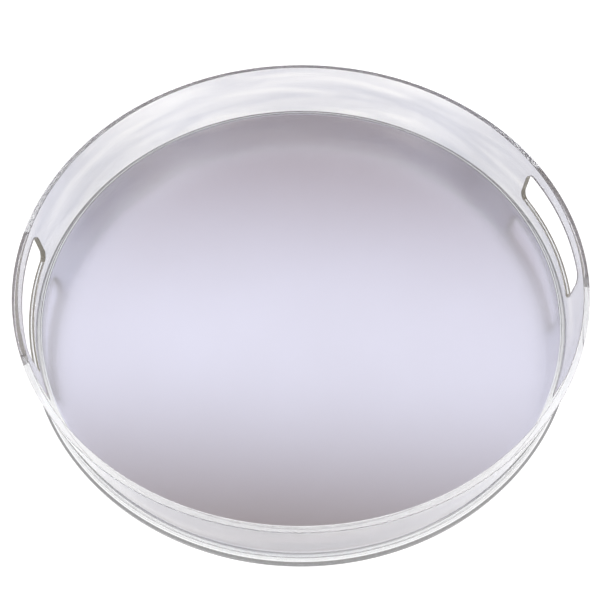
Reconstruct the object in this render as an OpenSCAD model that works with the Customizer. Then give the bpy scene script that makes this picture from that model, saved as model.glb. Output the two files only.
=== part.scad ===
// Round vanity tray. A clear acrylic wall ring with two handle slots stands on a
// clear acrylic base plate that is a little wider than the ring. A back-painted
// glass mirror lies inside the ring on strips of foam tape, and four self-adhesive
// bumpers under the base plate keep the tray off the furniture.
//
// Millimetres, +Z up. The origin is under the tray's centre, on the surface that
// the bumpers stand on. The handle slots are at +X and -X.

/* [Base plate] */

// Diameter of the base plate
base_d = 355.6; // [300:0.1:400]
// Thickness of the base plate
base_t = 4; // [3:0.5:6]
// How far the base plate's edge stands out past the wall
base_lip = 3.2; // [1:0.1:5]

/* [Wall ring] */

// Thickness of the wall
wall_t = 3.6; // [3:0.1:5]
// Height of the wall above the base plate
wall_h = 46.8; // [42:0.1:80]
// Chamfer on the polished edges of the acrylic
edge_chamfer = 0.4; // [0.2:0.1:0.8]

/* [Handle slots] */

// Width of a handle slot, measured round the outside of the wall
slot_w = 93.6; // [70:0.1:130]
// Height of a handle slot
slot_h = 23.4; // [16:0.1:28]
// Height of the slot's lower edge above the top of the base plate
slot_rise = 14.6; // [10:0.1:16]
// Corner radius of a handle slot
slot_corner_r = 6; // [2:0.5:7.5]

/* [Mirror] */

// Gap between the edge of the mirror and the wall
mirror_gap = 0.8; // [0.4:0.1:3]
// Thickness of the mirror's glass
glass_t = 3.8; // [2.8:0.1:5]
// Chamfer on the seamed edges of the glass
glass_chamfer = 0.5; // [0.2:0.1:1]
// Thickness of the silvering on the back of the glass
silver_t = 0.1; // [0.05:0.01:0.2]
// Thickness of the paint that seals the silvering
paint_t = 0.1; // [0.05:0.01:0.3]

/* [Foam tape] */

// Thickness of the foam tape under the mirror
tape_t = 2; // [1:0.1:3]
// Width of a strip of tape
tape_w = 25; // [12:1:40]
// Distance from one strip's centre line to the next
tape_pitch = 70; // [45:1:75]
// Least distance from a strip's corners to the edge of the mirror
tape_margin = 12; // [5:1:20]

/* [Bumper feet] */

// Diameter of a bumper foot
foot_d = 12.7; // [8:0.1:20]
// Height of a bumper foot without its adhesive
foot_h = 2; // [1.5:0.1:6]
// Radius of the rounded lower edge of a foot
foot_round = 1.2; // [0.5:0.1:1.4]
// Thickness of the adhesive disc that holds a foot
adhesive_t = 0.2; // [0.1:0.05:0.4]
// Distance from the base plate's edge to the centre of a foot
foot_inset = 28; // [15:1:60]

/* [Hidden] */

$fn = 96;
// Overlap that a cutting shape has past the faces it cuts
cut = 1;

base_r = base_d / 2;
wall_outer_r = base_r - base_lip;
wall_inner_r = wall_outer_r - wall_t;
mirror_r = wall_inner_r - mirror_gap;

base_z = foot_h + adhesive_t;
wall_z = base_z + base_t;
slot_z = wall_z + slot_rise;
tape_z = wall_z;
paint_z = tape_z + tape_t;
silver_z = paint_z + paint_t;
glass_z = silver_z + silver_t;

// Angle that a handle slot takes up, and the part of it between the corner centres
slot_angle = slot_w / wall_outer_r * 180 / PI;
corner_angle = asin(slot_corner_r / wall_outer_r);
slot_core_angle = slot_angle - 2 * corner_angle;

// Centre lines of the strips, two on each side of the middle
tape_ys = [for (place = [-1.5, -0.5, 0.5, 1.5]) place * tape_pitch];
foot_angles = [45, 135, 225, 315];

// A flat disc with the same chamfer on its upper and lower edges.
module chamfered_disc(r, t, chamfer) {
    rotate_extrude()
        polygon([
            [0, 0],
            [r - chamfer, 0],
            [r, chamfer],
            [r, t - chamfer],
            [r - chamfer, t],
            [0, t]
        ]);
}

// One rounded end of a handle slot: a bar through the wall along +X, whose inner
// side is on the XZ plane and whose outer side has the two rounded corners.
module slot_end() {
    straight_h = slot_h - 2 * slot_corner_r;
    translate([wall_inner_r - wall_t, 0, 0])
        rotate([90, 0, 90])
            linear_extrude(3 * wall_t) {
                translate([0, slot_corner_r])
                    square([slot_corner_r, straight_h]);
                for (corner_y = [slot_corner_r, slot_h - slot_corner_r])
                    translate([0, corner_y])
                        circle(r = slot_corner_r);
            }
}

// The cutting shape of the handle slot at +X, with its lower edge at z = 0.
module handle_slot() {
    rotate([0, 0, -slot_core_angle / 2])
        rotate_extrude(angle = slot_core_angle)
            translate([wall_inner_r - cut, 0])
                square([wall_t + 2 * cut, slot_h]);
    rotate([0, 0, slot_core_angle / 2])
        slot_end();
    rotate([0, 0, -slot_core_angle / 2])
        mirror([0, 1, 0])
            slot_end();
}

module base_plate() {
    color([0.90, 0.93, 0.96, 0.45])
        translate([0, 0, base_z])
            chamfered_disc(base_r, base_t, edge_chamfer);
}

module wall_ring() {
    color([0.92, 0.94, 0.98, 0.40])
        difference() {
            translate([0, 0, wall_z])
                rotate_extrude()
                    polygon([
                        [wall_inner_r, 0],
                        [wall_outer_r, 0],
                        [wall_outer_r, wall_h - edge_chamfer],
                        [wall_outer_r - edge_chamfer, wall_h],
                        [wall_inner_r + edge_chamfer, wall_h],
                        [wall_inner_r, wall_h - edge_chamfer]
                    ]);
            for (side_angle = [0, 180])
                rotate([0, 0, side_angle])
                    translate([0, 0, slot_z])
                        handle_slot();
        }
}

module mirror_glass() {
    color([0.84, 0.90, 0.90, 0.5])
        translate([0, 0, glass_z])
            chamfered_disc(mirror_r, glass_t, glass_chamfer);
}

module mirror_silver() {
    color([0.86, 0.85, 0.90])
        translate([0, 0, silver_z])
            cylinder(r = mirror_r - glass_chamfer, h = silver_t);
}

module mirror_paint() {
    color([0.45, 0.47, 0.50])
        translate([0, 0, paint_z])
            cylinder(r = mirror_r - glass_chamfer, h = paint_t);
}

// A strip runs along X, cut to length so that its corners stay under the mirror.
module tape_strip(index) {
    strip_y = tape_ys[index];
    corner_y = abs(strip_y) + tape_w / 2;
    half_l = sqrt(pow(mirror_r - tape_margin, 2) - pow(corner_y, 2));
    color([0.95, 0.95, 0.94])
        translate([-half_l, strip_y - tape_w / 2, tape_z])
            cube([2 * half_l, tape_w, tape_t]);
}

// Moves what follows it to one of the four places under the base plate.
module at_foot(index) {
    rotate([0, 0, foot_angles[index]])
        translate([base_r - foot_inset, 0, 0])
            children();
}

module foot(index) {
    foot_r = foot_d / 2;
    color([0.93, 0.94, 0.94, 0.7])
        at_foot(index)
            rotate_extrude()
                difference() {
                    square([foot_r, foot_h]);
                    translate([foot_r - foot_round, 0])
                        difference() {
                            square(foot_round);
                            translate([0, foot_round])
                                circle(r = foot_round);
                        }
                }
}

module foot_adhesive(index) {
    color([0.88, 0.88, 0.86, 0.8])
        at_foot(index)
            translate([0, 0, foot_h])
                cylinder(d = foot_d, h = adhesive_t);
}

base_plate();
wall_ring();
mirror_glass();
mirror_silver();
mirror_paint();
tape_strip(0);  // tape_1
tape_strip(1);  // tape_2
tape_strip(2);  // tape_3
tape_strip(3);  // tape_4
foot(0);  // foot_1
foot(1);  // foot_2
foot(2);  // foot_3
foot(3);  // foot_4
foot_adhesive(0);  // foot_adhesive_1
foot_adhesive(1);  // foot_adhesive_2
foot_adhesive(2);  // foot_adhesive_3
foot_adhesive(3);  // foot_adhesive_4
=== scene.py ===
"""Looks of the round mirrored vanity tray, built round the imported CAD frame."""

import math

import bpy
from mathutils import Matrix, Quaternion, Vector


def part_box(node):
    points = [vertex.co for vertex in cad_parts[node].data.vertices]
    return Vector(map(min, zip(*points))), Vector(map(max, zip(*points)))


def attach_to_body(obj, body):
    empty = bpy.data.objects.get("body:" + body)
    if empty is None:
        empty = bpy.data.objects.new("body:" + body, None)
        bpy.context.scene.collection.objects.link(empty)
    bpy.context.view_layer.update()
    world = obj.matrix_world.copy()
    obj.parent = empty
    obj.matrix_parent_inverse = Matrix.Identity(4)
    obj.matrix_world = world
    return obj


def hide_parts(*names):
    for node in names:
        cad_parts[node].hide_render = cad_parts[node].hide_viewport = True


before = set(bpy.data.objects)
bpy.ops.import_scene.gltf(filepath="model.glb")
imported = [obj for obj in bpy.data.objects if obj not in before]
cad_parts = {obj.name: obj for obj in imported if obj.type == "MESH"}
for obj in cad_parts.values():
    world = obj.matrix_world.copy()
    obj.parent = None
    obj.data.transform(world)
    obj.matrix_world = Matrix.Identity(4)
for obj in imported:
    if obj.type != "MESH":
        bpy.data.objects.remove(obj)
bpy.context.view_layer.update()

MM = 0.001
COLUMNS = 360                      # segments round every large circle
COLUMN_ANGLE = 2 * math.pi / COLUMNS


# ---------------------------------------------------------------- sizes, from the frame

class Disc:
    """The radius, bottom and top of a CAD node that is round about the Z axis."""

    def __init__(self, node):
        low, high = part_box(node)
        self.radius = high.x
        self.bottom = low.z
        self.top = high.z


BASE = Disc("base_plate")
WALL = Disc("wall_ring")
GLASS = Disc("mirror_glass")
SILVER = Disc("mirror_silver")
PAINT = Disc("mirror_paint")

WALL_THICKNESS = 3.6 * MM
WALL_TOP_ROUND = 0.5 * MM
WELD_SIZE = 1.1 * MM               # the bead of cement round the outside of the wall's foot
BASE_ROUND = 0.4 * MM
SHADED_LIP_FROM = BASE.radius - 1.5 * MM    # outside this radius the base plate's lip is tinted dark as painted shade
GLASS_ROUND = 0.5 * MM
FILM_ROUND = 0.02 * MM
FILM_STEPS = 2                     # faces round the edge of a film, which is too thin for more

SLOT_HALF_WIDTH = 46.8 * MM        # round the outside of the wall
SLOT_BOTTOM = WALL.bottom + 14.6 * MM
SLOT_TOP = SLOT_BOTTOM + 23.4 * MM
SLOT_CORNER = 6.0 * MM
SLOT_EDGE_ROUND = 0.35 * MM
SLOT_BUFFED_HALF = 0.5 * MM        # half the width of the buffed band on a slot's floor
SLOT_FLOOR_FACING = -0.99          # a slot's outline is its floor where it turns this far down

# Two clear solids that touch would share a face, which light crosses badly, so
# one of them sinks this far into the other.
SEAT_OVERLAP = 0.03 * MM


# ---------------------------------------------------------------- mesh building

class Skin:
    """Collects vertices under keys, each with its own exact normal, and the faces between them."""

    def __init__(self):
        self.index = {}
        self.points = []
        self.normals = []
        self.faces = []
        self.face_slots = []

    def vertex(self, key, point, normal):
        """The number of the vertex under this key, which is made the first time."""
        if key not in self.index:
            self.index[key] = len(self.points)
            self.points.append(tuple(point))
            self.normals.append(tuple(Vector(normal).normalized()))
        return self.index[key]

    def face(self, keys, material_slot=0):
        """A face on the vertices under these keys, anticlockwise seen from outside."""
        corners = [self.index[key] for key in keys]
        self.faces.append(corners)
        self.face_slots.append(material_slot)

    def piece(self, name, materials):
        """The finished object, linked into the scene."""
        mesh = bpy.data.meshes.new(name)
        mesh.from_pydata(self.points, [], self.faces)
        for material in materials:
            mesh.materials.append(material)
        mesh.polygons.foreach_set("material_index", self.face_slots)
        mesh.shade_smooth()
        mesh.normals_split_custom_set_from_vertices(self.normals)
        mesh.update()
        made = bpy.data.objects.new(name, mesh)
        bpy.context.scene.collection.objects.link(made)
        return made


def quarter_round(steps):
    """(sine, cosine) pairs from 0 to 90 degrees, both ends included."""
    turns = [math.pi / 2 * step / steps for step in range(steps + 1)]
    return [(math.sin(turn), math.cos(turn)) for turn in turns]


def lathe(name, profile, materials, centre=(0, 0), columns=COLUMNS, slot_of_row=lambda row: 0):
    """Turns a profile of (radius, z, radial normal, z normal) points about the vertical axis
    through centre. The profile runs from the bottom centre to the top centre, and slot_of_row
    gives the material slot of the faces above each of its points."""
    skin = Skin()
    last = len(profile) - 1
    for row, (radius, z, normal_r, normal_z) in enumerate(profile):
        for column in range(columns if 0 < row < last else 1):
            turn = 2 * math.pi * column / columns
            point = (centre[0] + radius * math.cos(turn), centre[1] + radius * math.sin(turn), z)
            normal = (normal_r * math.cos(turn), normal_r * math.sin(turn), normal_z)
            skin.vertex((row, column), point, normal)
    for column in range(columns):
        following = (column + 1) % columns
        skin.face([(0, 0), (1, following), (1, column)])
        for row in range(1, last - 1):
            corners = [(row, column), (row, following), (row + 1, following), (row + 1, column)]
            skin.face(corners, slot_of_row(row))
        skin.face([(last, 0), (last - 1, column), (last - 1, following)])
    return skin.piece(name, materials)


def disc_profile(radius, bottom, top, edge_round, steps=5):
    """The profile of a flat disc with rounded edges."""
    profile = [(0, bottom, 0, -1)]
    profile += [(radius * part, bottom, 0, -1) for part in (0.4, 0.8, 0.95)]
    for sine, cosine in quarter_round(steps):
        inset = edge_round * (1 - sine)
        profile.append((radius - inset, bottom + edge_round * (1 - cosine), sine, -cosine))
    for sine, cosine in quarter_round(steps):
        inset = edge_round * (1 - cosine)
        profile.append((radius - inset, top - edge_round * (1 - sine), cosine, sine))
    profile += [(radius * part, top, 0, 1) for part in (0.95, 0.8, 0.4)]
    profile.append((0, top, 0, 1))
    return profile


# ---------------------------------------------------------------- the wall ring

WALL_ROWS = 20                     # faces from the foot of the wall to its rim
SLOT_PATCH = 20                    # columns on each side of a slot's middle in its patch of mesh
SLOT_PATCH_RINGS = 6
CORNER_STEPS = 12                  # even, so that a corner's middle is a point
SLOT_FLAT_STEPS = 2 * SLOT_PATCH - CORNER_STEPS
SLOT_END_STEPS = WALL_ROWS - CORNER_STEPS


def wall_point(angle, depth, z):
    """A point of the wall, depth in from its outer face."""
    radius = WALL.radius - depth
    return Vector((radius * math.cos(angle), radius * math.sin(angle), z))


def wall_direction(angle, outward, around, up):
    """A direction at the wall, from its outward, anticlockwise and upward parts."""
    cosine, sine = math.cos(angle), math.sin(angle)
    return Vector((outward * cosine - around * sine, outward * sine + around * cosine, up))


def slot_outline():
    """Points round a slot, anticlockwise seen from outside, from the middle of its lower left
    corner: (distance round the wall, z, and the same two parts of the direction into the wall)."""
    half_flat = SLOT_HALF_WIDTH - SLOT_CORNER
    low, high = SLOT_BOTTOM + SLOT_CORNER, SLOT_TOP - SLOT_CORNER
    corners = [
        ((-half_flat, low), math.pi, SLOT_FLAT_STEPS),
        ((half_flat, low), 1.5 * math.pi, SLOT_END_STEPS),
        ((half_flat, high), 0, SLOT_FLAT_STEPS),
        ((-half_flat, high), 0.5 * math.pi, SLOT_END_STEPS),
    ]
    outline = []
    for place, ((centre_s, centre_z), first_turn, straight_steps) in enumerate(corners):
        for step in range(CORNER_STEPS + 1):
            turn = first_turn + 0.5 * math.pi * step / CORNER_STEPS
            into = (math.cos(turn), math.sin(turn))
            outline.append((centre_s + SLOT_CORNER * into[0], centre_z + SLOT_CORNER * into[1], *into))
        (next_s, next_z), _, _ = corners[(place + 1) % 4]
        start_s, start_z, into_s, into_z = outline[-1]
        for step in range(1, straight_steps):
            share = step / straight_steps
            outline.append((
                start_s + share * (next_s - centre_s),
                start_z + share * (next_z - centre_z),
                into_s,
                into_z,
            ))
    half_corner = CORNER_STEPS // 2
    return outline[half_corner:] + outline[:half_corner]


def slot_tunnel():
    """Steps through the wall along a slot's edge, from the outer face to the inner one:
    (depth, how far out of the slot's outline, outward part and inward part of the normal)."""
    rounding = [
        (SLOT_EDGE_ROUND * (1 - cosine), SLOT_EDGE_ROUND * (1 - sine), cosine, sine)
        for sine, cosine in quarter_round(4)
    ]
    middle = [(WALL_THICKNESS * part, 0, 0, 1) for part in (0.2, 0.36, 0.5, 0.64, 0.8)]
    leaving = [
        (WALL_THICKNESS - depth, offset, -outward, inward)
        for depth, offset, outward, inward in reversed(rounding)
    ]
    return rounding + middle + leaving


def patch_border(middle_column, face_name):
    """Keys round the patch of grid that a slot is cut in, in the order of slot_outline()."""
    left, right = middle_column - SLOT_PATCH, middle_column + SLOT_PATCH
    places = [(column, 0) for column in range(left, right)]
    places += [(right, row) for row in range(WALL_ROWS)]
    places += [(column, WALL_ROWS) for column in range(right, left, -1)]
    places += [(left, row) for row in range(WALL_ROWS, 0, -1)]
    return [(face_name, column % COLUMNS, row) for column, row in places]


def rim_section():
    """Across the rim from the outer face to the inner one: rounded edges, flat between them."""
    over = [
        (WALL_TOP_ROUND * (1 - cosine), WALL.top - WALL_TOP_ROUND * (1 - sine), cosine, sine)
        for sine, cosine in quarter_round(5)
    ]
    flat = [(WALL_THICKNESS * part, WALL.top, 0, 1) for part in (0.3, 0.5, 0.7)]
    back = [(WALL_THICKNESS - depth, z, -outward, up) for depth, z, outward, up in reversed(over)]
    return over[1:] + flat + back[:-1]


def bead_section():
    """The hollow bead of cement that the joint leaves round the outside of the wall's foot."""
    bead = [
        (-WELD_SIZE * (1 - cosine), WALL.bottom + WELD_SIZE * (1 - sine), cosine, sine)
        for sine, cosine in quarter_round(6)
    ]
    return bead[1:] + [(-WELD_SIZE, WALL.bottom - SEAT_OVERLAP, 0, -1)]


def flat_foot_section():
    """The wall's flat foot, sunk a little way into the base plate."""
    floor = WALL.bottom - SEAT_OVERLAP
    flat = [(WALL_THICKNESS * part, floor, 0, -1) for part in (0.05, 0.35, 0.65, 0.95)]
    return flat + [(WALL_THICKNESS, floor, -1, 0)]


# The wall's material slots: its two faces, its rim, the slots as sawn and darkened by painted shade,
# the bead of cement and the joint with the base plate.
FACE, EDGE, SAWN_AND_SHADED, WELD, JOINT = range(5)

# Each face of the wall: its name, its depth in the wall and which way it looks.
WALL_FACES = (("outer", 0, 1), ("inner", WALL_THICKNESS, -1))


def tunnel_finishes(depth, outline):
    """A material slot for each face round a handle slot, at a depth in the wall. Buffed are the outer
    edge all round and the floor's middle and inner edge. The rest is left as sawn, in a finish
    darkened by painted shade."""
    if depth < SLOT_EDGE_ROUND:
        return [EDGE] * len(outline)
    in_middle = abs(depth - WALL_THICKNESS / 2) < SLOT_BUFFED_HALF
    on_inner_edge = depth > WALL_THICKNESS - SLOT_EDGE_ROUND
    floor_finish = EDGE if in_middle or on_inner_edge else SAWN_AND_SHADED
    return [floor_finish if into_z < SLOT_FLOOR_FACING else SAWN_AND_SHADED for _, _, _, into_z in outline]


class WallSkin(Skin):
    """The wall: a grid of keys (face name, column, row) on each face, and what joins the two."""

    def __init__(self):
        super().__init__()
        low = WALL.bottom + WELD_SIZE
        high = WALL.top - WALL_TOP_ROUND
        self.heights = [low + (high - low) * row / WALL_ROWS for row in range(WALL_ROWS + 1)]
        for face_name, depth, outward in WALL_FACES:
            for column in range(COLUMNS):
                angle = column * COLUMN_ANGLE
                normal = wall_direction(angle, outward, 0, 0)
                for row, z in enumerate(self.heights):
                    self.vertex((face_name, column, row), wall_point(angle, depth, z), normal)

    def strip(self, first, second, material_slots):
        """Faces between two closed rows of keys, with a material slot for each face."""
        for place, key in enumerate(first):
            following = (place + 1) % len(first)
            corners = [key, first[following], second[following], second[place]]
            self.face(corners, material_slots[place])

    def plain_stretch(self, start, columns):
        """Both faces of a stretch of wall that has no handle slot."""
        for column in range(start, start + columns):
            following = (column + 1) % COLUMNS
            for row in range(WALL_ROWS):
                outer = [
                    ("outer", column, row),
                    ("outer", following, row),
                    ("outer", following, row + 1),
                    ("outer", column, row + 1),
                ]
                self.face(outer, FACE)
                self.face([("inner", *key[1:]) for key in reversed(outer)], FACE)

    def close_edge(self, name, level, section, material_slots):
        """Joins a row of the two faces by a section of (depth, z, outward, upward) points."""
        def ring_of(ring_name, step):
            return [(ring_name, column, step) for column in range(COLUMNS)]

        rings = [ring_of("outer", level)]
        for step, (depth, z, outward, upward) in enumerate(section):
            for column in range(COLUMNS):
                angle = column * COLUMN_ANGLE
                normal = wall_direction(angle, outward, 0, upward)
                self.vertex((name, column, step), wall_point(angle, depth, z), normal)
            rings.append(ring_of(name, step))
        rings.append(ring_of("inner", level))
        for first, second, material_slot in zip(rings, rings[1:], material_slots):
            if level == 0:
                first, second = second, first
            self.strip(first, second, [material_slot] * COLUMNS)

    def tunnel_loops(self, middle_column, outline, tunnel):
        """Loops of keys through the wall round a handle slot, from the outer face to the inner."""
        loops = []
        for level, (depth, offset, outward, inward) in enumerate(tunnel):
            loop = []
            for place, (s, z, into_s, into_z) in enumerate(outline):
                angle = middle_column * COLUMN_ANGLE + (s + offset * into_s) / WALL.radius
                normal = wall_direction(angle, outward, -inward * into_s, -inward * into_z)
                key = ("tunnel", middle_column, level, place)
                self.vertex(key, wall_point(angle, depth, z + offset * into_z), normal)
                loop.append(key)
            loops.append(loop)
        return loops

    def patch_rings(self, middle_column, outline, face, slot_loop):
        """Rings of keys on a face, from the border of a slot's patch to the slot's edge."""
        face_name, depth, outward = face
        border = patch_border(middle_column, face_name)
        rings = [border]
        for ring in range(1, SLOT_PATCH_RINGS):
            share = ring / SLOT_PATCH_RINGS
            loop = []
            for place, (_, column, row) in enumerate(border):
                from_middle = (column - middle_column + COLUMNS // 2) % COLUMNS - COLUMNS // 2
                border_angle = from_middle * COLUMN_ANGLE
                s, z, into_s, into_z = outline[place]
                edge_angle = (s + SLOT_EDGE_ROUND * into_s) / WALL.radius
                edge_z = z + SLOT_EDGE_ROUND * into_z
                ring_angle = border_angle + share * (edge_angle - border_angle)
                angle = middle_column * COLUMN_ANGLE + ring_angle
                ring_z = self.heights[row] + share * (edge_z - self.heights[row])
                key = (face_name + "_ring", middle_column, ring, place)
                normal = wall_direction(angle, outward, 0, 0)
                self.vertex(key, wall_point(angle, depth, ring_z), normal)
                loop.append(key)
            rings.append(loop)
        return rings + [slot_loop]

    def cut_slot(self, middle_column):
        """A handle slot: faces in from its patch's border, through the wall, and out again."""
        outline = slot_outline()
        tunnel = slot_tunnel()
        slot_loops = self.tunnel_loops(middle_column, outline, tunnel)
        outer_face, inner_face = WALL_FACES
        outer_rings = self.patch_rings(middle_column, outline, outer_face, slot_loops[0])
        inner_rings = self.patch_rings(middle_column, outline, inner_face, slot_loops[-1])
        inner_rings.reverse()
        for rings in (outer_rings, inner_rings):
            for first, second in zip(rings, rings[1:]):
                self.strip(first, second, [FACE] * len(outline))
        for level, (first, second) in enumerate(zip(slot_loops, slot_loops[1:])):
            depth = (tunnel[level][0] + tunnel[level + 1][0]) / 2
            self.strip(first, second, tunnel_finishes(depth, outline))


def make_wall(materials):
    skin = WallSkin()
    half_ring = COLUMNS // 2
    for middle_column in (0, half_ring):
        skin.plain_stretch(middle_column + SLOT_PATCH, half_ring - 2 * SLOT_PATCH)

    rim = rim_section()
    skin.close_edge("rim", WALL_ROWS, rim, [EDGE] * (len(rim) + 1))
    bead, flat = bead_section(), flat_foot_section()
    skin.close_edge("foot", 0, bead + flat, [WELD] * len(bead) + [JOINT] * (len(flat) + 1))

    for middle_column in (0, half_ring):
        skin.cut_slot(middle_column)
    return skin.piece("wall_ring_clear", materials)


# ---------------------------------------------------------------- the base plate and the glass

def base_profile():
    """The base plate's profile, with a row on its lip where the edge's painted shade ends."""
    profile = disc_profile(BASE.radius, BASE.bottom, BASE.top, BASE_ROUND)
    top_row = next(row for row, (_, _, _, up) in enumerate(profile) if up == 1)
    return profile[:top_row + 1] + [(SHADED_LIP_FROM, BASE.top, 0, 1)] + profile[top_row + 1:]


BASE_SECTION = base_profile()
GLASS_SECTION = disc_profile(GLASS.radius, GLASS.bottom, GLASS.top, GLASS_ROUND)
GROUND_FACING = 0.95               # the glass is ground where it faces outward by this much


def base_finish(row):
    """The base plate's cut edge and the outside of its lip take the second material, tinted dark as
    painted shade.
    """
    radius, _, _, up = BASE_SECTION[row]
    return 1 if up > -1 and radius > SHADED_LIP_FROM else 0


def glass_finish(row):
    """The glass's ground edge takes the second material."""
    _, _, outward, _ = GLASS_SECTION[row]
    return 1 if outward > GROUND_FACING else 0


# ---------------------------------------------------------------- materials

class Surface:
    """A procedural material round one Principled shader."""

    def __init__(self, name, colour, **sockets):
        self.material = bpy.data.materials.new(name)
        self.material.use_nodes = True
        self.nodes = self.material.node_tree.nodes
        self.links = self.material.node_tree.links
        self.shader = self.nodes["Principled BSDF"]
        self.shader.inputs["Base Color"].default_value = (*colour, 1)
        for socket, value in sockets.items():
            self.shader.inputs[socket.replace("_", " ")].default_value = value
        self.place = self.nodes.new("ShaderNodeTexCoord").outputs["Object"]

    def stretched(self, scale):
        """The place on the object, scaled by (x, y, z)."""
        mapping = self.nodes.new("ShaderNodeMapping")
        mapping.inputs["Scale"].default_value = scale
        self.links.new(self.place, mapping.inputs["Vector"])
        return mapping.outputs["Vector"]

    def noise(self, scale, detail=3, stretch=(1, 1, 1), distortion=0):
        node = self.nodes.new("ShaderNodeTexNoise")
        node.inputs["Scale"].default_value = scale
        node.inputs["Detail"].default_value = detail
        node.inputs["Distortion"].default_value = distortion
        self.links.new(self.stretched(stretch), node.inputs["Vector"])
        return node.outputs["Fac"]

    def cells(self, scale):
        node = self.nodes.new("ShaderNodeTexVoronoi")
        node.inputs["Scale"].default_value = scale
        self.links.new(self.place, node.inputs["Vector"])
        return node.outputs["Distance"]

    def spread(self, value, low, high, from_low=0.3, from_high=0.7):
        """value, which lies mostly between from_low and from_high, moved to low..high."""
        node = self.nodes.new("ShaderNodeMapRange")
        node.inputs["From Min"].default_value = from_low
        node.inputs["From Max"].default_value = from_high
        node.inputs["To Min"].default_value = low
        node.inputs["To Max"].default_value = high
        self.links.new(value, node.inputs["Value"])
        return node.outputs["Result"]

    def blend_colours(self, factor, first, second):
        node = self.nodes.new("ShaderNodeMix")
        node.data_type = "RGBA"
        node.inputs["A"].default_value = (*first, 1)
        node.inputs["B"].default_value = (*second, 1)
        self.links.new(factor, node.inputs["Factor"])
        return node.outputs["Result"]

    def colour(self, value):
        self.links.new(value, self.shader.inputs["Base Color"])

    def roughness(self, value):
        self.links.new(value, self.shader.inputs["Roughness"])

    def relief(self, *layers):
        """Bumps on bumps: each layer is (height value, height in metres)."""
        normal = None
        for value, height in layers:
            bump = self.nodes.new("ShaderNodeBump")
            bump.inputs["Strength"].default_value = 1
            bump.inputs["Distance"].default_value = height
            self.links.new(value, bump.inputs["Height"])
            if normal:
                self.links.new(normal, bump.inputs["Normal"])
            normal = bump.outputs["Normal"]
        self.links.new(normal, self.shader.inputs["Normal"])


def clear_acrylic():
    """The wall's sheet. Its colour is painted shade and painted reflection: a grey tint for darker
    surroundings seen through it, and bluish bands along it for reflections. Soft ripples from being
    bent hot, rubs.
    """
    surface = Surface("clear_acrylic", (0.86, 0.865, 0.89), IOR=1.49, Transmission_Weight=0.84)
    # Both colours are painted: the grey is painted shade of the surroundings seen through the wall,
    # and the bluish bands are painted reflections.
    reflection_streaks = surface.noise(10, detail=4, stretch=(1, 1, 9), distortion=0.5)
    tint = surface.spread(reflection_streaks, 0, 1, 0.35, 0.65)
    surface.colour(surface.blend_colours(tint, (0.74, 0.75, 0.80), (0.98, 0.98, 0.98)))
    rub = surface.noise(220, detail=4, stretch=(1, 1, 0.2))
    surface.roughness(surface.spread(rub, 0.0, 0.03))
    ripple = surface.noise(26, detail=1, stretch=(1, 1, 0.25))
    surface.relief((ripple, 0.00012))
    return surface.material


def flat_acrylic():
    """The base plate's sheet and its joint with the wall: never bent, so clearer than the wall,
    with a few fine rubs."""
    surface = Surface("flat_acrylic", (0.98, 0.98, 0.98), IOR=1.49, Transmission_Weight=0.99)
    rub = surface.noise(180, detail=4)
    surface.colour(surface.blend_colours(rub, (0.96, 0.97, 0.97), (0.99, 0.99, 0.99)))
    surface.roughness(surface.spread(rub, 0.0, 0.04))
    return surface.material


def polished_edge():
    """The rim, flamed and buffed after cutting: fine marks and a trace of haze."""
    surface = Surface("polished_edge", (1.0, 1.0, 1.0), IOR=1.49, Transmission_Weight=0.85)
    marks = surface.noise(900, detail=3)
    surface.roughness(surface.spread(marks, 0.01, 0.07))
    surface.relief((marks, 0.0000015))
    return surface.material


def sawn_and_shaded_edge():
    """The edge of a handle slot, left matt and faintly olive by the cutter, and darkened as painted
    shade of the surroundings seen through the wall.
    """
    # The dark olive tones are partly the matt cut and partly painted shade.
    surface = Surface("sawn_and_shaded_edge", (0.29, 0.27, 0.215), IOR=1.49, Transmission_Weight=0.3)
    marks = surface.noise(700, detail=3, stretch=(1, 1, 0.3))
    surface.colour(surface.blend_colours(marks, (0.23, 0.215, 0.165), (0.36, 0.335, 0.27)))
    surface.roughness(surface.spread(marks, 0.25, 0.45))
    surface.relief((marks, 0.00002))
    return surface.material


def weld_bead():
    """Solvent cement, clear with a little white bloom."""
    surface = Surface("weld_bead", (0.98, 0.98, 0.98), IOR=1.49, Transmission_Weight=0.8)
    bloom = surface.noise(160, detail=4)
    surface.colour(surface.blend_colours(bloom, (0.95, 0.95, 0.95), (1.0, 1.0, 1.0)))
    surface.roughness(surface.spread(bloom, 0.08, 0.3))
    surface.relief((bloom, 0.00004))
    return surface.material


def shaded_base_edge():
    """The base plate's lip and cut edge, tinted dark as painted shade of the floor under the tray."""
    # The near-black colour is painted shade.
    surface = Surface("shaded_base_edge", (0.12, 0.12, 0.12), IOR=1.49, Transmission_Weight=0.92)
    marks = surface.noise(500, detail=3, stretch=(1, 1, 3))
    surface.colour(surface.blend_colours(marks, (0.09, 0.09, 0.09), (0.16, 0.16, 0.16)))
    surface.roughness(surface.spread(marks, 0.03, 0.15))
    surface.relief((marks, 0.00001))
    return surface.material


def mirror_glass():
    """Float glass with a faint green tint and the odd smudge."""
    surface = Surface("mirror_glass", (0.965, 0.985, 0.98), IOR=1.52, Transmission_Weight=1.0)
    smudge = surface.noise(18, detail=5, distortion=0.6)
    surface.roughness(surface.spread(smudge, 0.0, 0.02, 0.45, 0.75))
    return surface.material


def ground_glass():
    """The glass's edge, ground flat and left matt: pale, with a hint of green."""
    surface = Surface("ground_glass", (0.95, 0.97, 0.96), IOR=1.52, Transmission_Weight=0.96)
    grit = surface.noise(1200, detail=3)
    surface.colour(surface.blend_colours(grit, (0.92, 0.95, 0.94), (0.97, 0.98, 0.97)))
    surface.roughness(surface.spread(grit, 0.4, 0.6))
    surface.relief((grit, 0.00002))
    return surface.material


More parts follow.
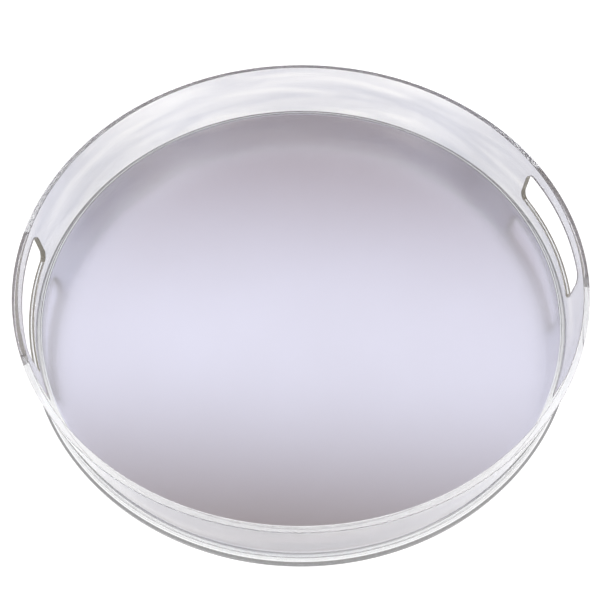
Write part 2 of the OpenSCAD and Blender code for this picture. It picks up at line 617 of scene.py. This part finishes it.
def silvering():
    """The reflecting film on the back of the glass."""
    surface = Surface("silvering", (0.93, 0.925, 0.94), Metallic=1.0)
    cloud = surface.noise(9, detail=3)
    surface.colour(surface.blend_colours(cloud, (0.93, 0.925, 0.945), (0.95, 0.945, 0.955)))
    surface.roughness(surface.spread(cloud, 0.19, 0.21))
    return surface.material


def backing_paint():
    """Grey paint rolled over the silvering."""
    surface = Surface("backing_paint", (0.42, 0.44, 0.47), Roughness=0.6)
    roller = surface.noise(260, detail=5)
    surface.colour(surface.blend_colours(roller, (0.38, 0.40, 0.43), (0.46, 0.48, 0.51)))
    surface.roughness(surface.spread(roller, 0.45, 0.7))
    surface.relief((roller, 0.00006))
    return surface.material


def foam():
    """White closed-cell foam."""
    surface = Surface("foam_tape", (0.86, 0.86, 0.84), Roughness=0.9)
    cells = surface.cells(1500)
    surface.colour(surface.blend_colours(cells, (0.80, 0.80, 0.78), (0.90, 0.90, 0.88)))
    surface.roughness(surface.spread(cells, 0.8, 0.95, 0, 1))
    surface.relief((cells, 0.0002))
    return surface.material


def bumper():
    """Clear, slightly milky polyurethane."""
    surface = Surface("clear_bumper", (0.93, 0.94, 0.93), IOR=1.5, Transmission_Weight=0.92)
    bloom = surface.noise(400, detail=3)
    surface.roughness(surface.spread(bloom, 0.08, 0.2))
    surface.relief((bloom, 0.00002))
    return surface.material


def adhesive():
    """The thin sticky layer of a foot, slightly cloudy where it has not wetted the plate."""
    surface = Surface("adhesive", (0.88, 0.88, 0.85), IOR=1.47, Transmission_Weight=0.7)
    patch = surface.noise(350, detail=2)
    surface.roughness(surface.spread(patch, 0.25, 0.6))
    surface.relief((patch, 0.00002))
    return surface.material


FLOOR_GLOW = 1.0


def floor_finish():
    """A white sheet lit from below, which burns out to pure white where it is seen directly.
    From underneath it can be looked through."""
    surface = Surface("studio_floor", (0.30, 0.30, 0.30), Roughness=0.9)
    surface.shader.inputs["Emission Color"].default_value = (1, 1, 1, 1)
    surface.shader.inputs["Emission Strength"].default_value = FLOOR_GLOW
    grain = surface.noise(6, detail=2)
    surface.roughness(surface.spread(grain, 0.85, 0.95))
    behind = surface.nodes.new("ShaderNodeNewGeometry").outputs["Backfacing"]
    see_through = surface.nodes.new("ShaderNodeBsdfTransparent")
    either = surface.nodes.new("ShaderNodeMixShader")
    surface.links.new(behind, either.inputs["Fac"])
    surface.links.new(surface.shader.outputs["BSDF"], either.inputs[1])
    surface.links.new(see_through.outputs["BSDF"], either.inputs[2])
    surface.links.new(either.outputs["Shader"], surface.nodes["Material Output"].inputs["Surface"])
    return surface.material


# ---------------------------------------------------------------- foam tape and feet

FOAM_ROUND = 0.35 * MM
FOAM_WAVER = 0.15 * MM             # how far a cut edge of the tape strays inwards
FOAM_BAYS = 80                     # stretches of a strip between its rounded ends


def foam_section(half_width, half_height, inset):
    """Points round the strip's rounded section: (y, z, normal y, normal z)."""
    points = []
    for corner, (side_y, side_z) in enumerate(((1, 1), (-1, 1), (-1, -1), (1, -1))):
        for step in range(4):
            turn = math.pi / 2 * (corner + step / 3)
            out_y, out_z = math.cos(turn), math.sin(turn)
            reach = FOAM_ROUND - inset
            y = side_y * (half_width - FOAM_ROUND) + reach * out_y
            z = side_z * (half_height - FOAM_ROUND) + reach * out_z
            points.append((y, z, out_y, out_z))
    return points


def foam_strip(name, node, material):
    """A strip of tape along X, its long edges cut a little unevenly."""
    low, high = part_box(node)
    middle, half = (low + high) / 2, (high - low) / 2
    left_end = [
        (-half.x + FOAM_ROUND * (1 - sine), FOAM_ROUND * (1 - cosine), -cosine)
        for cosine, sine in quarter_round(3)
    ]
    right_end = [(-x, inset, -lean) for x, inset, lean in reversed(left_end)]
    length = 2 * (half.x - FOAM_ROUND)
    bays = [(length * (bay / FOAM_BAYS - 0.5), 0, 0) for bay in range(1, FOAM_BAYS)]
    skin = Skin()
    stations = left_end + bays + right_end
    for ring, (x, inset, lean) in enumerate(stations):
        waver = FOAM_WAVER * (0.5 + 0.3 * math.sin(0.7 * ring) + 0.2 * math.sin(1.9 * ring + 1))
        upright = math.sqrt(1 - lean * lean)
        section = foam_section(half.y - waver, half.z, inset)
        for place, (y, z, out_y, out_z) in enumerate(section):
            point = (middle.x + x, middle.y + y, middle.z + z)
            skin.vertex((ring, place), point, (lean, out_y * upright, out_z * upright))
    around = len(section)
    for ring in range(len(stations) - 1):
        for place in range(around):
            following = (place + 1) % around
            skin.face([(ring, place), (ring, following), (ring + 1, following), (ring + 1, place)])
    skin.face([(0, place) for place in reversed(range(around))])
    skin.face([(len(stations) - 1, place) for place in range(around)])
    return skin.piece(name, [material])


FOOT_ROUND = 1.2 * MM
FOOT_SIDE_LEAN = 0.15 * MM         # how far the foot's side leans in on its way up
FOOT_TOP_ROUND = 0.1 * MM
FOOT_COLUMNS = 64
ADHESIVE_GAP = 0.01 * MM           # left between the adhesive and the plate


def foot_profile(radius, bottom, top):
    """A moulded bumper: flat underneath, well rounded, with a slight draft on its side."""
    profile = [(0, bottom, 0, -1), (radius * 0.45, bottom, 0, -1)]
    for sine, cosine in quarter_round(8):
        inset = FOOT_ROUND * (1 - sine)
        profile.append((radius - inset, bottom + FOOT_ROUND * (1 - cosine), sine, -cosine))
    profile.append((radius - FOOT_SIDE_LEAN, top - FOOT_TOP_ROUND, 1, 0.2))
    profile.append((radius - 2 * FOOT_SIDE_LEAN, top, 0, 1))
    profile.append((radius * 0.5, top, 0, 1))
    profile.append((0, top, 0, 1))
    return profile


def foot_place(node):
    """The centre, radius, bottom and top of a small round node."""
    low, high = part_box(node)
    centre = ((low.x + high.x) / 2, (low.y + high.y) / 2)
    return centre, (high.x - low.x) / 2, low.z, high.z


# ---------------------------------------------------------------- the pieces

def attach(piece, node):
    """Puts a finished piece on the frame in place of its CAD node."""
    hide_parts(node)
    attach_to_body(piece, "root")


BASE_SHEET = flat_acrylic()

wall_finishes = [clear_acrylic(), polished_edge(), sawn_and_shaded_edge(), weld_bead(), BASE_SHEET]
attach(make_wall(wall_finishes), "wall_ring")

base_finishes = [BASE_SHEET, shaded_base_edge()]
base_plate = lathe("base_plate_clear", BASE_SECTION, base_finishes, slot_of_row=base_finish)
attach(base_plate, "base_plate")

glass_finishes = [mirror_glass(), ground_glass()]
glass_sheet = lathe("mirror_glass_sheet", GLASS_SECTION, glass_finishes, slot_of_row=glass_finish)
attach(glass_sheet, "mirror_glass")

silver_top = SILVER.top + SEAT_OVERLAP
silver_section = disc_profile(SILVER.radius, SILVER.bottom, silver_top, FILM_ROUND, FILM_STEPS)
attach(lathe("mirror_silver_film", silver_section, [silvering()]), "mirror_silver")

paint_section = disc_profile(PAINT.radius, PAINT.bottom, PAINT.top, FILM_ROUND, FILM_STEPS)
paint_coat = lathe("mirror_paint_coat", paint_section, [backing_paint()])
attach(paint_coat, "mirror_paint")

FOAM = foam()
BUMPER = bumper()
ADHESIVE = adhesive()
for number in range(1, 5):
    strip_node = f"tape_{number}"
    attach(foam_strip(f"foam_strip_{number}", strip_node, FOAM), strip_node)

    foot_node = f"foot_{number}"
    centre, radius, bottom, top = foot_place(foot_node)
    foot_section = foot_profile(radius, bottom, top)
    foot = lathe(f"bumper_foot_{number}", foot_section, [BUMPER], centre, FOOT_COLUMNS)
    attach(foot, foot_node)

    glue_node = f"foot_adhesive_{number}"
    centre, radius, bottom, top = foot_place(glue_node)
    glue_bottom, glue_top = bottom - SEAT_OVERLAP, top - ADHESIVE_GAP
    glue_section = disc_profile(radius, glue_bottom, glue_top, FILM_ROUND, FILM_STEPS)
    glue = lathe(f"foot_glue_{number}", glue_section, [ADHESIVE], centre, FOOT_COLUMNS)
    attach(glue, glue_node)


# ---------------------------------------------------------------- studio

# Bearings are measured from the line square to the handles, which are on the X axis.
CAMERA_AZIMUTH = math.radians(-8.945)
CAMERA_ELEVATION = math.radians(55.626)
CAMERA_DISTANCE = 490.1 * MM
CAMERA_ROLL = -0.0055              # radians
CAMERA_TARGET = Vector((0, 0, BASE.bottom))
CAMERA_SENSOR = 36                 # millimetres, as Blender counts a lens
CAMERA_LENS = 43.49
CAMERA_SHIFT = (-0.00139, -0.01026)

FLOOR_HALF = 4.0                   # metres from the middle of the floor to each side

# The sky's colour depends on its slope: how far a direction leans along the light's bearing,
# to either side, for each unit that it rises.
LIGHT_AZIMUTH = math.radians(-12.6)
ZENITH = (0.50, 0.48, 0.52)
UMBER = (0.15, 0.085, 0.035)
LAVENDER = (1.057, 1.047, 1.234)
MAUVE = (0.26, 0.176, 0.175)
SKY_STOPS = [
    (0.0, ZENITH),
    (0.207, UMBER),
    (0.565, LAVENDER),
    (0.575, LAVENDER),
    (1.18, MAUVE),
]
SKY_SLOPE_SPAN = 2                 # the slope at the end of the sky's colour ramp
LEAST_RISE = 0.001                 # keeps the slope finite at the horizon and below it

# Towards the horizon the sky turns white, between these two rises.
WHITE = (1.3, 1.3, 1.3)
WHITE_FROM_RISE = 0.55
WHITE_BY_RISE = 0.35
WORLD_STRENGTH = 1.0


def make_camera():
    back = Vector((
        math.sin(CAMERA_AZIMUTH) * math.cos(CAMERA_ELEVATION),
        -math.cos(CAMERA_AZIMUTH) * math.cos(CAMERA_ELEVATION),
        math.sin(CAMERA_ELEVATION),
    ))
    lens = bpy.data.cameras.new("camera")
    lens.sensor_width = CAMERA_SENSOR
    lens.lens = CAMERA_LENS
    lens.shift_x, lens.shift_y = CAMERA_SHIFT
    lens.clip_start = 10 * MM
    camera = bpy.data.objects.new("camera", lens)
    bpy.context.scene.collection.objects.link(camera)
    camera.location = CAMERA_TARGET + CAMERA_DISTANCE * back
    camera.rotation_mode = "QUATERNION"
    roll = Quaternion((0, 0, 1), CAMERA_ROLL)
    camera.rotation_quaternion = (-back).to_track_quat("-Z", "Y") @ roll
    bpy.context.scene.camera = camera


def make_floor():
    """A pale floor that can be looked through from below."""
    corners = [(-1, -1), (1, -1), (1, 1), (-1, 1)]
    mesh = bpy.data.meshes.new("studio_floor")
    points = [(FLOOR_HALF * x, FLOOR_HALF * y, 0) for x, y in corners]
    mesh.from_pydata(points, [], [(0, 1, 2, 3)])
    mesh.materials.append(floor_finish())
    floor = bpy.data.objects.new("studio_floor", mesh)
    bpy.context.scene.collection.objects.link(floor)


def world_math(tree, operation, first, second):
    """The result of one sum in the world's node tree. Each term is a number or an output."""
    node = tree.nodes.new("ShaderNodeMath")
    node.operation = operation
    for socket, value in zip(node.inputs, (first, second)):
        if isinstance(value, (int, float)):
            socket.default_value = value
        else:
            tree.links.new(value, socket)
    return node.outputs[0]


def sky_slope(tree, direction, rise):
    """How far the direction leans along the light's bearing, for each unit that it rises."""
    along = tree.nodes.new("ShaderNodeVectorMath")
    along.operation = "DOT_PRODUCT"
    tree.links.new(direction, along.inputs[0])
    along.inputs[1].default_value = (-math.sin(LIGHT_AZIMUTH), math.cos(LIGHT_AZIMUTH), 0)
    lean = world_math(tree, "ABSOLUTE", along.outputs["Value"], 0)
    safe_rise = world_math(tree, "MAXIMUM", rise, LEAST_RISE)
    return world_math(tree, "DIVIDE", lean, safe_rise)


def banded_sky(tree, slope):
    """The colour that SKY_STOPS give to a slope."""
    node = tree.nodes.new("ShaderNodeValToRGB")
    ramp = node.color_ramp
    ramp.interpolation = "EASE"
    for place, (stop_slope, colour) in enumerate(SKY_STOPS):
        position = stop_slope / SKY_SLOPE_SPAN
        is_there = place < 2       # a new ramp has two elements
        element = ramp.elements[place] if is_there else ramp.elements.new(position)
        element.position = position
        element.color = (*colour, 1)
    tree.links.new(world_math(tree, "MULTIPLY", slope, 1 / SKY_SLOPE_SPAN), node.inputs["Fac"])
    return node.outputs["Color"]


def share_of_white(tree, rise):
    """0 high in the sky, and 1 near the horizon."""
    node = tree.nodes.new("ShaderNodeMapRange")
    node.inputs["From Min"].default_value = WHITE_FROM_RISE
    node.inputs["From Max"].default_value = WHITE_BY_RISE
    tree.links.new(rise, node.inputs["Value"])
    return node.outputs["Result"]


def make_light():
    """A sky in bands, the same in front and behind: grey overhead, then a dark band, a pale
    strip of light and a dull one, and white near the horizon."""
    world = bpy.data.worlds.new("studio")
    bpy.context.scene.world = world
    world.use_nodes = True
    tree = world.node_tree
    direction = tree.nodes.new("ShaderNodeTexCoord").outputs["Generated"]
    split = tree.nodes.new("ShaderNodeSeparateXYZ")
    tree.links.new(direction, split.inputs[0])
    rise = split.outputs["Z"]
    bands = banded_sky(tree, sky_slope(tree, direction, rise))

    whiten = tree.nodes.new("ShaderNodeMix")
    whiten.data_type = "RGBA"
    whiten.inputs["B"].default_value = (*WHITE, 1)
    tree.links.new(share_of_white(tree, rise), whiten.inputs["Factor"])
    tree.links.new(bands, whiten.inputs["A"])
    background = tree.nodes["Background"]
    tree.links.new(whiten.outputs["Result"], background.inputs["Color"])
    background.inputs["Strength"].default_value = WORLD_STRENGTH


make_camera()
make_floor()
make_light()

# Light crosses many clear faces on its way through the wall, so it needs many bounces.
scene = bpy.context.scene
scene.view_settings.view_transform = "Standard"
scene.cycles.max_bounces = 32
scene.cycles.transmission_bounces = 32
scene.cycles.glossy_bounces = 12
scene.cycles.transparent_max_bounces = 16
